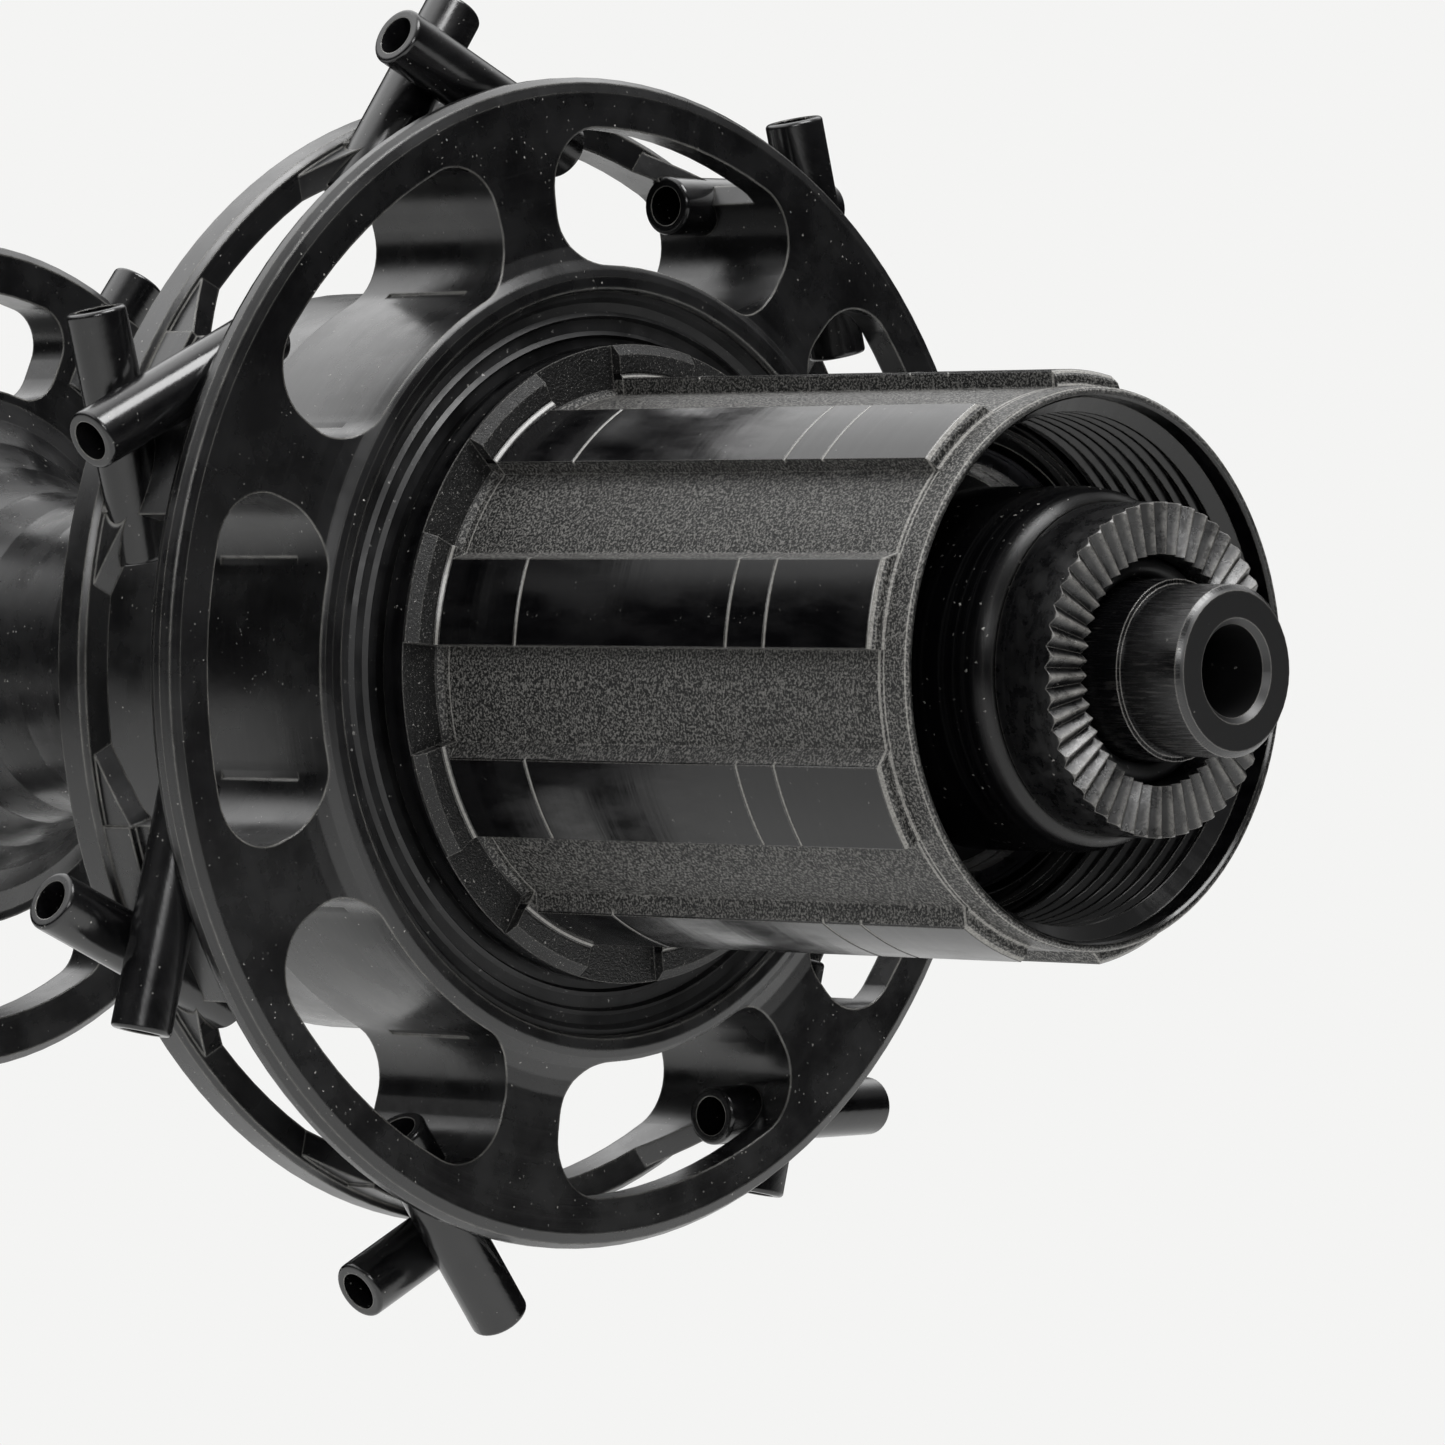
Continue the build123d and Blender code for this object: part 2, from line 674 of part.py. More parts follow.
def hub_shell():
    thick_block = block_face(DRUM_WALL_R - 0.5, REAR_DISC_R - 0.4, BLOCK_HALF)
    thin_block = block_face(DRUM_WALL_R - 0.5, REAR_DISC_R - 0.9, BLOCK_HALF)
    block_gusset = gusset()
    near_window = window_face(WINDOW_R0, WINDOW_R1, WINDOW_HALF, 3.6)
    far_window = window_face(17.6, 23.8, 16.5, 2.4)
    with BuildPart(Plane.XZ) as shell:
        # turned core: recess lip, both drive-side discs, drum, tube and far flange
        with BuildSketch(Plane.XY):
            with BuildLine():
                Polyline(
                    (RECESS_R, LIP_Y + 0.2),
                    (RECESS_R + 0.2, LIP_Y),
                    (23.30, LIP_Y),
                    (23.75, -20.85),
                    (24.35, -20.42),
                    (25.20, -20.12),
                    (26.20, FRONT_DISC_Y0),
                    (FRONT_DISC_R - 0.9, FRONT_DISC_Y0),
                    (FRONT_DISC_R - 0.3, -19.75),
                    (FRONT_DISC_R, -19.2),
                    (FRONT_DISC_R, -18.7),
                    (FRONT_DISC_R - 0.25, -18.2),
                    (FRONT_DISC_R - 0.7, FRONT_DISC_Y1),
                    (DRUM_WALL_R, FRONT_DISC_Y1),
                    (DRUM_WALL_R, REAR_DISC_Y0),
                    (REAR_DISC_R - 0.3, REAR_DISC_Y0),
                    (REAR_DISC_R, REAR_DISC_Y0 + 0.3),
                    (REAR_DISC_R, REAR_DISC_Y1 - 0.35),
                    (REAR_DISC_R - 0.35, REAR_DISC_Y1),
                    (24.2, REAR_DISC_Y1),
                    (23.1, -8.4),
                    (22.7, -7.2),
                    (22.7, 1.6),
                    (21.9, 3.2),
                    (19.6, 5.0),
                    (15.4, 8.2),
                    (12.6, 11.2),
                    (11.0, 14.6),
                    (10.2, 18.6),
                    (TUBE_R, 22.0),
                    (TUBE_R, 26.0),
                    (10.6, 29.4),
                    (12.2, 33.6),
                    (13.9, 36.4),
                    (15.6, 38.1),
                    (17.0, FAR_FLANGE_Y0),
                    (FAR_FLANGE_R - 0.5, FAR_FLANGE_Y0),
                    (FAR_FLANGE_R, FAR_FLANGE_Y0 + 0.5),
                    (FAR_FLANGE_R, FAR_FLANGE_Y1 - 0.5),
                    (FAR_FLANGE_R - 0.5, FAR_FLANGE_Y1),
                    (17.4, FAR_FLANGE_Y1),
                    (16.0, 42.6),
                    (15.4, 44.0),
                    (15.4, SHELL_END_Y - 0.5),
                    (14.9, SHELL_END_Y),
                    (BEARING_26_R + 0.3, SHELL_END_Y),
                    (BEARING_26_R, SHELL_END_Y - 0.3),
                    (BEARING_26_R, 45.0),
                    (11.6, 45.0),
                    (11.6, 43.2),
                    (TUBE_BORE_R, 39.4),
                    (TUBE_BORE_R, 14.0),
                    (13.2, 4.0),
                    (13.2, -0.6),
                    (15.0, -0.6),
                    (15.0, -8.6),
                    (15.5, -9.1),
                    (RATCHET_R, RATCHET_Y1),
                    (RATCHET_R, -17.4),
                    (RECESS_R, -17.4),
                    close=True,
                )
            make_face()
        revolve(axis=Axis.Y)
        # seven blocks between the drive-side discs, stepped on the outside
        with BuildSketch(across(BLOCK_FOOT_Y)):
            with PolarLocations(0, SPOKE_GROUPS, start_angle=WINDOW_PHASE + 180.0 / SPOKE_GROUPS):
                add(thick_block)
        extrude(amount=BLOCK_FOOT_Y - BLOCK_STEP_Y)
        with BuildSketch(across(BLOCK_STEP_Y)):
            with PolarLocations(0, SPOKE_GROUPS, start_angle=WINDOW_PHASE + 180.0 / SPOKE_GROUPS):
                add(thin_block)
        extrude(amount=BLOCK_STEP_Y - FRONT_DISC_Y1 + 0.1)
        with PolarLocations(0, SPOKE_GROUPS, start_angle=WINDOW_PHASE + 180.0 / SPOKE_GROUPS):
            add(block_gusset)
        # seven windows right through both discs
        with BuildSketch(across(REAR_DISC_Y1 + 1)):
            with PolarLocations(0, SPOKE_GROUPS, start_angle=WINDOW_PHASE):
                add(near_window)
        extrude(amount=13.5, mode=Mode.SUBTRACT)
        # pads and windows on the far flange
        for start, direction in far_socket_axes():
            with BuildSketch(Plane(origin=start - direction * 1.2, z_dir=direction)):
                Circle(2.7)
            extrude(amount=5.9)
        with BuildSketch(across(FAR_FLANGE_Y1 + 1)):
            with PolarLocations(0, SPOKE_GROUPS, start_angle=FAR_PHASE + 180.0 / SPOKE_GROUPS):
                add(far_window)
        extrude(amount=6, mode=Mode.SUBTRACT)
        # seats for the spoke sockets
        for start, direction in near_socket_axes():
            with BuildSketch(Plane(origin=start, z_dir=direction)):
                Circle(SOCKET_R)
            extrude(amount=SOCKET_IN + SOCKET_OUT, mode=Mode.SUBTRACT)
        for start, direction in far_socket_axes():
            with BuildSketch(Plane(origin=start, z_dir=direction)):
                Circle(SOCKET_R)
            extrude(amount=FAR_SOCKET_R1 - FAR_SOCKET_R0, mode=Mode.SUBTRACT)
    # the inner seats leave crumbs of 0.005 mm3 at the block edges; the shell is the one large body
    body = shell.solids().sort_by(SortBy.VOLUME)[-1]
    body.label = "hub_shell"
    export_step(body, "parts/hub_shell.step")


def preload_ring():
    """Clamping collar on the far end: a slot, a cross hole for its screw and four spanner notches."""
    with BuildPart(Plane.XZ) as collar:
        with BuildSketch(Plane.XY):
            with BuildLine():
                Polyline(
                    (AXLE_R + FIT, 52.3),
                    (13.4, 52.3),
                    (13.9, 52.8),
                    (13.9, 56.6),
                    (13.4, 57.1),
                    (AXLE_R + FIT, 57.1),
                    close=True,
                )
            make_face()
        revolve(axis=Axis.Y)
        with BuildSketch(across(57.5)):
            with Locations((0, 11.5)):
                Rectangle(1.0, 8.0)
            with PolarLocations(13.9, 4, start_angle=45):
                Rectangle(2.2, 2.6)
        extrude(amount=6, mode=Mode.SUBTRACT)
        with Locations(Location((-3.0, 11.3, -54.7), (0, 90, 0))):
            Cylinder(1.28, 20, mode=Mode.SUBTRACT)
        with Locations(Location((5.9, 11.3, -54.7), (0, 90, 0))):
            Cylinder(2.35, 4.0, mode=Mode.SUBTRACT)
    collar.part.label = "preload_ring"
    export_step(collar.part, "parts/preload_ring.step")


def preload_screw():
    """Cap screw of the collar, along X, with a hexagon socket."""
    with BuildPart() as screw:
        with BuildSketch(Plane.YZ.offset(-4.4)):
            with Locations((54.7, 11.3)):
                Circle(1.25)
        extrude(amount=8.4)
        with BuildSketch(Plane.YZ.offset(3.9)):
            with Locations((54.7, 11.3)):
                Circle(2.2)
        extrude(amount=2.3)
        with BuildSketch(Plane.YZ.offset(6.2)):
            with Locations((54.7, 11.3)):
                RegularPolygon(1.1, 6)
        extrude(amount=-1.3, mode=Mode.SUBTRACT)
    screw.part.label = "preload_screw"
    export_step(screw.part, "parts/preload_screw.step")


def nondrive_dust_cap():
    with BuildPart() as cap:
        with BuildSketch(Plane.XY):
            with BuildLine():
                Polyline(
                    (AXLE_R + FIT, 57.1),
                    (10.5, 57.1),
                    (10.5, 58.8),
                    (10.38, 59.65),
                    (10.12, 60.30),
                    (9.70, 60.65),
                    (9.30, 60.65),
                    (9.30, 57.4),
                    (AXLE_R + FIT, 57.4),
                    close=True,
                )
            make_face()
        revolve(axis=Axis.Y)
    cap.part.label = "nondrive_dust_cap"
    export_step(cap.part, "parts/nondrive_dust_cap.step")


def nondrive_seal():
    """Rubber washer between the far bearing and the collar."""
    with BuildPart() as seal:
        with BuildSketch(Plane.XY):
            with BuildLine():
                Polyline(
                    (AXLE_R + FIT, 50.0),
                    (9.6, 50.0),
                    (9.9, 50.5),
                    (12.4, 50.6),
                    (12.6, 50.9),
                    (12.6, 52.3),
                    (AXLE_R + FIT, 52.3),
                    close=True,
                )
            make_face()
        revolve(axis=Axis.Y)
    seal.part.label = "nondrive_seal"
    export_step(seal.part, "parts/nondrive_seal.step")


def main():
    os.makedirs("parts", exist_ok=True)
    axle()
    locknut(-1, "drive_locknut")
    locknut(1, "nondrive_locknut")
    axle_o_ring(-1, "drive_o_ring")
    axle_o_ring(1, "nondrive_o_ring")
    drive_dust_cap()
    nondrive_dust_cap()
    spacer(AXLE_R + FIT, 9.8, -42.3, -29.0, "freehub_inner_spacer")
    spacer(AXLE_R + FIT, 9.1, -24.0, -7.6, "drive_axle_spacer")
    nondrive_seal()
    preload_ring()
    preload_screw()
    freehub_body()
    spacer(12.2, BEARING_26_R - 0.02, -42.3, -29.0, "freehub_outer_spacer")
    freehub_circlip()
    pawl_spring()
    for index in range(PAWLS):
        pawl(index, f"pawl_{index + 1}")
    hub_shell()
    ratchet_ring()
    recess_seal()
    spoke_sockets(near_socket_axes(), SOCKET_IN + SOCKET_OUT, "drive_spoke_sockets")
    spoke_sockets(far_socket_axes(), FAR_SOCKET_R1 - FAR_SOCKET_R0, "nondrive_spoke_sockets")
    for bearing, sizes in BEARINGS.items():
        bearing_inner_ring(sizes, f"{bearing}_inner_ring")
        bearing_outer_ring(sizes, f"{bearing}_outer_ring")
        bearing_balls(sizes, f"{bearing}_balls")
        bearing_cage(sizes, f"{bearing}_cage")
        bearing_shields(sizes, f"{bearing}_shields")


main()
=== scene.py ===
"""Bicycle rear hub: finishes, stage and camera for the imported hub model.

Laid out as a Blender add-on and run as a script. The hub axis is Y, the freehub faces -Y.
"""

import math

import bpy
from bpy.props import FloatProperty, FloatVectorProperty, PointerProperty
from mathutils import Matrix, Vector


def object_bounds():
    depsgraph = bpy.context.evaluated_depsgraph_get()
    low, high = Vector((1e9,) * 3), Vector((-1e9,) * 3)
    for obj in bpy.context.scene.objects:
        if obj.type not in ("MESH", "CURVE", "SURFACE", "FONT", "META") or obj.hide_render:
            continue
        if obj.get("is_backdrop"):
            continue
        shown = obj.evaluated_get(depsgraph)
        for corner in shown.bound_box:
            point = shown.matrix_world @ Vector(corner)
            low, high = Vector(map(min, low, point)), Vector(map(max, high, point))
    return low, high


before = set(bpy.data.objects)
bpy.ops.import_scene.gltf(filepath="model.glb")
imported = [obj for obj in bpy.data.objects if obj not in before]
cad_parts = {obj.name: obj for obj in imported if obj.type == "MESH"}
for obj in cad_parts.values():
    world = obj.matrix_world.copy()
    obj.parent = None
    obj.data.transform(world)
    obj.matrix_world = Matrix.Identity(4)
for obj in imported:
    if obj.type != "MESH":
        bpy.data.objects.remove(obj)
bpy.context.view_layer.update()

bl_info = {
    "name": "Rear hub finishes",
    "version": (1, 0, 0),
    "blender": (4, 5, 0),
    "location": "View3D > Sidebar > Rear hub",
    "description": "Anodised, rubber and steel finishes for a bicycle rear hub, with a plain stage",
    "category": "Material",
}

MM = 0.001

# where the freehub body changes finish, in millimetres; distances along the axis are from the hub's middle
CROWN_FROM_R, CROWN_FULL_R = 17.08, 17.14
BORE_FULL_R, BORE_TO_R = 15.75, 15.95
SCRIBED_FROM_R, SCRIBED_FULL_R = 16.9, 17.0
SCRIBED_LINES = (-49.91, -46.91, -29.84)
SCRIBED_HALF = 0.08
# each turned end that gets a painted highlight: its place along the axis and its half width
BRIGHT_ENDS = ((-58.02, 0.10), (-58.36, 0.06), (-59.95, 0.07), (-23.42, 0.06))
BRIGHT_ENDS_FROM_R, BRIGHT_ENDS_FULL_R = 16.05, 16.12
NECK_FROM, NECK_FULL = -22.50, -22.40
NOTCH_END, NOTCH_END_HALF = -22.60, 0.07
FLANGE_RIM_FROM_R, FLANGE_RIM_FULL_R = 17.45, 17.55
FLANGE_RIM_FULL, FLANGE_RIM_TO = -22.70, -22.55
DUST_THIN, DUST_THICK = -30.0, -22.5
# the end nuts' ring of teeth
TEETH_FROM, TEETH_FULL = 64.72, 64.98
TEETH_FROM_R, TEETH_FULL_R = 6.5, 6.7
NUT_RECESS_FROM_R, NUT_RECESS_FULL_R = 6.55, 6.65
# the outside of the axle's stub ends
STUB_FROM_R, STUB_FULL_R = 4.6, 4.85

# pale colour of the painted highlights on sharp edges
EDGE_HIGHLIGHT_COLOUR = "#b4b2ac"
DUST_COLOUR = "#c9c7c2"
ANODISED_IOR = 1.6


# ---------------------------------------------------------------- colours and nodes


def linear(hex_colour):
    """An sRGB hex colour as linear red, green, blue and alpha."""
    text = hex_colour.lstrip("#")
    parts = []
    for start in (0, 2, 4):
        value = int(text[start:start + 2], 16) / 255
        parts.append(value / 12.92 if value <= 0.04045 else ((value + 0.055) / 1.055) ** 2.4)
    return (*parts, 1.0)


def node(tree, kind, settings=None, inputs=None):
    """Adds a node; an input that is a socket is linked, and any other value is set."""
    made = tree.nodes.new(kind)
    for name, value in (settings or {}).items():
        setattr(made, name, value)
    for key, value in (inputs or {}).items():
        socket = made.inputs[key]
        if isinstance(value, bpy.types.NodeSocket):
            tree.links.new(value, socket)
        else:
            socket.default_value = value
    return made


def new_material(name):
    """An empty node material with its Principled shader and output."""
    material = bpy.data.materials.new(name)
    material.use_nodes = True
    tree = material.node_tree
    tree.nodes.clear()
    shader = node(tree, "ShaderNodeBsdfPrincipled")
    node(tree, "ShaderNodeOutputMaterial", inputs={"Surface": shader.outputs["BSDF"]})
    return material, tree, shader


def maths(tree, operation, first, second=0.0, third=0.0):
    """One arithmetic step; returns its socket. Only MULTIPLY_ADD uses the third value."""
    step = node(tree, "ShaderNodeMath", {"operation": operation}, {0: first, 1: second, 2: third})
    return step.outputs[0]


def ramp_between(tree, value, low, high, to_low=0.0, to_high=1.0, smooth=True):
    """Maps a value from low..high to to_low..to_high, held at both ends."""
    kind = "SMOOTHSTEP" if smooth else "LINEAR"
    step = node(
        tree,
        "ShaderNodeMapRange",
        {"interpolation_type": kind, "clamp": True},
        {"Value": value, "From Min": low, "From Max": high, "To Min": to_low, "To Max": to_high},
    )
    return step.outputs["Result"]


def blend_colours(tree, factor, first, second):
    """Mixes two colours or a colour and a socket; returns the colour socket."""
    mix = node(tree, "ShaderNodeMix", {"data_type": "RGBA"}, {0: factor, 6: first, 7: second})
    return mix.outputs[2]


def object_place(tree):
    """Object coordinates, in metres."""
    return node(tree, "ShaderNodeTexCoord").outputs["Object"]


def hub_coordinates(tree):
    """Object coordinates, distance from the hub axis, place along it and angle round it."""
    place = object_place(tree)
    split = node(tree, "ShaderNodeSeparateXYZ", inputs={0: place})
    flat = node(tree, "ShaderNodeCombineXYZ", inputs={0: split.outputs[0], 1: 0.0, 2: split.outputs[2]})
    length = node(tree, "ShaderNodeVectorMath", {"operation": "LENGTH"}, {0: flat.outputs[0]})
    radius = length.outputs["Value"]
    angle = maths(tree, "ARCTAN2", split.outputs[2], split.outputs[0])
    return place, radius, split.outputs[1], angle


def turned_lines(tree, along, radius, pitch_mm, reach=1.0):
    """Fine rings as a lathe leaves them: noise that changes along the axis and with radius only."""
    rings = node(
        tree,
        "ShaderNodeCombineXYZ",
        inputs={0: maths(tree, "MULTIPLY", radius, 1.0 / (pitch_mm * MM)),
                1: maths(tree, "MULTIPLY", along, 1.0 / (pitch_mm * MM)),
                2: 0.0},
    )
    noise = node(
        tree,
        "ShaderNodeTexNoise",
        inputs={"Vector": rings.outputs[0], "Scale": reach, "Detail": 2.0, "Roughness": 0.6},
    )
    return noise.outputs[0]


def grain(tree, place, size_mm, detail=2.0, roughness=0.55, distortion=0.0):
    """Random noise whose bumps are about size_mm across."""
    noise = node(
        tree,
        "ShaderNodeTexNoise",
        inputs={
            "Vector": place,
            "Scale": 1.0 / (size_mm * MM),
            "Detail": detail,
            "Roughness": roughness,
            "Distortion": distortion,
        },
    )
    return noise.outputs[0]


def dust(tree, place, size_mm, amount):
    """Scattered specks of dust and lint: crooked grains of mixed size, thick in some places only."""
    wander = node(
        tree,
        "ShaderNodeTexNoise",
        inputs={"Vector": place, "Scale": 1.6 / (size_mm * MM), "Detail": 1.0},
    )
    pushed = node(
        tree,
        "ShaderNodeVectorMath",
        {"operation": "MULTIPLY_ADD"},
        {0: wander.outputs[1], 1: (2.4 * size_mm * MM,) * 3, 2: place},
    ).outputs[0]
    cells = node(
        tree,
        "ShaderNodeTexVoronoi",
        {"feature": "F1"},
        {"Vector": pushed, "Scale": 1.0 / (size_mm * 4.0 * MM), "Randomness": 1.0},
    )
    parts = node(tree, "ShaderNodeSeparateColor", inputs={0: cells.outputs["Color"]})
    reach = ramp_between(tree, parts.outputs[1], 0.0, 1.0, 0.05, 0.17, smooth=False)
    dot = ramp_between(tree, maths(tree, "DIVIDE", cells.outputs["Distance"], reach), 0.7, 1.2, 1.0, 0.0)
    chosen = maths(tree, "GREATER_THAN", parts.outputs[0], 1.0 - amount)
    patches = ramp_between(tree, grain(tree, place, 6.0, 2.0), 0.40, 0.62, 0.08, 1.0)
    shade = ramp_between(tree, parts.outputs[2], 0.0, 1.0, 0.35, 1.0, smooth=False)
    seen = maths(tree, "MULTIPLY", maths(tree, "MULTIPLY", dot, chosen), shade)
    return maths(tree, "MULTIPLY", seen, patches)


def band(tree, value, centre_mm, half_mm):
    """1 within half_mm of a place along an axis or radius, 0 elsewhere."""
    away = maths(tree, "ABSOLUTE", maths(tree, "SUBTRACT", value, centre_mm * MM))
    return ramp_between(tree, away, half_mm * 0.8 * MM, half_mm * 1.2 * MM, 1.0, 0.0)


def any_of(tree, masks):
    """The largest of several masks."""
    total = masks[0]
    for mask in masks[1:]:
        total = maths(tree, "MAXIMUM", total, mask)
    return total


def smears(tree, along, angle, width_mm, length_mm, at_radius_mm):
    """Smudges drawn out along the axis, as handling and sliding parts leave them."""
    strokes = node(
        tree,
        "ShaderNodeCombineXYZ",
        inputs={0: maths(tree, "MULTIPLY", angle, at_radius_mm / width_mm),
                1: maths(tree, "MULTIPLY", along, 1.0 / (length_mm * MM)),
                2: 0.0},
    )
    noise = node(
        tree,
        "ShaderNodeTexNoise",
        inputs={"Vector": strokes.outputs[0], "Scale": 1.0, "Detail": 4.0, "Roughness": 0.62},
    )
    return noise.outputs[0]


def edge_light(tree, radius_mm):
    """How near a point is to a sharp edge, from 0 on a flat to 1 on the edge."""
    rounded = node(tree, "ShaderNodeBevel", {"samples": 4}, {"Radius": radius_mm * MM})
    true_normal = node(tree, "ShaderNodeNewGeometry").outputs["Normal"]
    agreement = node(
        tree,
        "ShaderNodeVectorMath",
        {"operation": "DOT_PRODUCT"},
        {0: rounded.outputs[0], 1: true_normal},
    ).outputs["Value"]
    return ramp_between(tree, agreement, 0.995, 0.86), rounded.outputs[0]


def bump(tree, height, distance_mm, strength=1.0, normal=None):
    """A normal tipped by a height of distance_mm; returns its socket."""
    inputs = {"Height": height, "Distance": distance_mm * MM, "Strength": strength}
    if normal is not None:
        inputs["Normal"] = normal
    return node(tree, "ShaderNodeBump", inputs=inputs).outputs[0]


def wire(tree, shader, colour, gloss, normal, ior=None):
    """Joins a finish's colour, roughness and normal to its shader; metals keep their own index."""
    tree.links.new(colour, shader.inputs["Base Color"])
    tree.links.new(gloss, shader.inputs["Roughness"])
    tree.links.new(normal, shader.inputs["Normal"])
    if ior is not None:
        shader.inputs["IOR"].default_value = ior


# ---------------------------------------------------------------- finishes


def anodised_freehub(settings):
    """Black anodised aluminium, turned on its crowns and blasted in its grooves.

    The crowns are near-black gloss with faint smears and lathe bands, the groove floors an even
    grainy grey; the scribed lines show bright where the film is cut, and the crown ends, rim and sharp
    edges carry painted highlights.
    """
    material, tree, shader = new_material("black_anodised_turned_and_blasted")
    place, radius, along, angle = hub_coordinates(tree)
    # turned lands against blasted floors, notch ends and groove sides
    crown = ramp_between(tree, radius, CROWN_FROM_R * MM, CROWN_FULL_R * MM)
    inside = ramp_between(tree, radius, BORE_FULL_R * MM, BORE_TO_R * MM, 1.0, 0.0)
    neck = ramp_between(tree, along, NECK_FROM * MM, NECK_FULL * MM)
    notch_end = band(tree, along, NOTCH_END, NOTCH_END_HALF)
    flange_rim = maths(
        tree,
        "MULTIPLY",
        ramp_between(tree, radius, FLANGE_RIM_FROM_R * MM, FLANGE_RIM_FULL_R * MM),
        ramp_between(tree, along, FLANGE_RIM_FULL * MM, FLANGE_RIM_TO * MM, 1.0, 0.0),
    )
    turned = any_of(tree, [crown, inside, neck])
    rough_flange = maths(tree, "MAXIMUM", notch_end, flange_rim)
    turned = maths(tree, "MULTIPLY", turned, maths(tree, "SUBTRACT", 1.0, rough_flange))
    blasted = maths(tree, "SUBTRACT", 1.0, turned)

    coarse = grain(tree, place, settings.blast_grain_mm, 2.0, 0.7)
    fine = grain(tree, place, settings.blast_grain_mm * 0.5, 2.0, 0.6)
    rings = turned_lines(tree, along, radius, 0.30)
    lathe_bands = turned_lines(tree, along, radius, 2.2)
    smudges = smears(tree, along, angle, 1.2, 4.0, 17.2)

    blasted_colour = blend_colours(
        tree, ramp_between(tree, coarse, 0.45, 0.62), linear("#0c0c0c"), linear("#6e6d6a")
    )
    blasted_colour = blend_colours(tree, rough_flange, blasted_colour, linear("#101010"))
    turned_colour = blend_colours(
        tree, ramp_between(tree, smudges, 0.38, 0.66), linear("#040405"), linear("#0c0c0d")
    )
    base = blend_colours(tree, blasted, turned_colour, blasted_colour)
    # bright marks: three scribed lines cut through the film, and painted highlights on both ends of the
    # crowns, the rim and the flange edge
    cuts = [band(tree, along, centre, SCRIBED_HALF) for centre in SCRIBED_LINES]
    ends = [band(tree, along, centre, half) for centre, half in BRIGHT_ENDS]
    on_crowns = ramp_between(tree, radius, SCRIBED_FROM_R * MM, SCRIBED_FULL_R * MM)
    outer = ramp_between(tree, radius, BRIGHT_ENDS_FROM_R * MM, BRIGHT_ENDS_FULL_R * MM)
    scribed = maths(tree, "MULTIPLY", any_of(tree, cuts), on_crowns)
    painted_end_highlights = maths(tree, "MULTIPLY", any_of(tree, ends), outer)
    bright = maths(tree, "MAXIMUM", scribed, maths(tree, "MULTIPLY", painted_end_highlights, 0.9))
    edge, rounded = edge_light(tree, settings.edge_mm)
    # painted highlight along sharp edges, thinned out by fine grain
    bright_marks = maths(tree, "MULTIPLY", edge, ramp_between(tree, fine, 0.35, 0.62, 0.12, 0.8))
    bright = maths(tree, "MAXIMUM", bright, bright_marks)
    bright = maths(tree, "MULTIPLY", bright, ramp_between(tree, coarse, 0.30, 0.60, 0.65, 1.0))
    # pale colour over the scribed cuts and over the painted highlights on ends, rim and edges
    base = blend_colours(tree, maths(tree, "MULTIPLY", bright, 0.7), base, linear("#a8a6a1"))
    # dust: thick round the flange and in the notches, thin along the splines
    near_flange = ramp_between(tree, along, DUST_THIN * MM, DUST_THICK * MM, 0.3, 1.0)
    specks = maths(tree, "MULTIPLY", dust(tree, place, 0.10, 0.30), near_flange)
    chipped = maths(tree, "MULTIPLY", rough_flange, 0.7)
    chips = maths(tree, "MULTIPLY", ramp_between(tree, fine, 0.66, 0.72), chipped)
    specks = maths(tree, "MAXIMUM", specks, chips)
    base = blend_colours(tree, specks, base, linear(DUST_COLOUR))

    smooth_gloss = ramp_between(tree, smudges, 0.3, 0.75, 0.13, 0.25)
    matt_gloss = ramp_between(tree, fine, 0.3, 0.7, 0.38, 0.60)
    gloss = node(
        tree, "ShaderNodeMix", {"data_type": "FLOAT"}, {0: blasted, 2: smooth_gloss, 3: matt_gloss}
    ).outputs[0]
    gloss = maths(tree, "MAXIMUM", gloss, maths(tree, "MULTIPLY", specks, 0.9))
    lathe = maths(tree, "MULTIPLY_ADD", lathe_bands, 0.22, maths(tree, "MULTIPLY", rings, 0.03))
    height = maths(
        tree, "ADD", maths(tree, "MULTIPLY", coarse, blasted), maths(tree, "MULTIPLY", lathe, turned)
    )
    normal = bump(tree, height, 0.10, 1.0, rounded)
    wire(tree, shader, base, gloss, normal, 1.48)
    return material


def anodised_turned(
    name,
    settings,
    dark,
    light,
    rough_low,
    rough_high,
    ring_mm=0.25,
    edge_highlight_share=0.6,
    speck_share=0.25,
    speck_mm=0.09,
    edge_width=1.0,
    ior=ANODISED_IOR,
):
    """Black anodised aluminium left as turned: satin rings, thin painted highlights on sharp edges, a
    little dust.
    """
    material, tree, shader = new_material(name)
    place, radius, along = hub_coordinates(tree)[:3]
    rings = turned_lines(tree, along, radius, ring_mm)
    lathe_bands = turned_lines(tree, along, radius, ring_mm * 8.0)
    clouds = grain(tree, place, 5.0, 4.0, 0.62)
    colour = blend_colours(tree, ramp_between(tree, clouds, 0.35, 0.68), linear(dark), linear(light))
    ring_crests = ramp_between(tree, rings, 0.52, 0.75, 0.0, 0.25)
    colour = blend_colours(tree, ring_crests, colour, linear("#303030"))
    # painted highlight along sharp edges, broken up by coarse grain
    edge, rounded = edge_light(tree, settings.edge_mm * edge_width)
    edge_highlight_breakup = ramp_between(tree, grain(tree, place, 1.5, 3.0), 0.30, 0.65, 0.45, 1.0)
    bright_marks = maths(tree, "MULTIPLY", maths(tree, "MULTIPLY", edge, edge_highlight_breakup), edge_highlight_share)
    colour = blend_colours(tree, bright_marks, colour, linear(EDGE_HIGHLIGHT_COLOUR))
    specks = dust(tree, place, speck_mm, speck_share)
    colour = blend_colours(tree, specks, colour, linear(DUST_COLOUR))
    gloss = ramp_between(tree, clouds, 0.3, 0.7, rough_low, rough_high)
    gloss = maths(tree, "MAXIMUM", gloss, maths(tree, "MULTIPLY", specks, 0.9))
    height = maths(tree, "MULTIPLY_ADD", lathe_bands, 4.0, rings)
    wire(tree, shader, colour, gloss, bump(tree, height, 0.004, 0.8, rounded), ior)
    return material


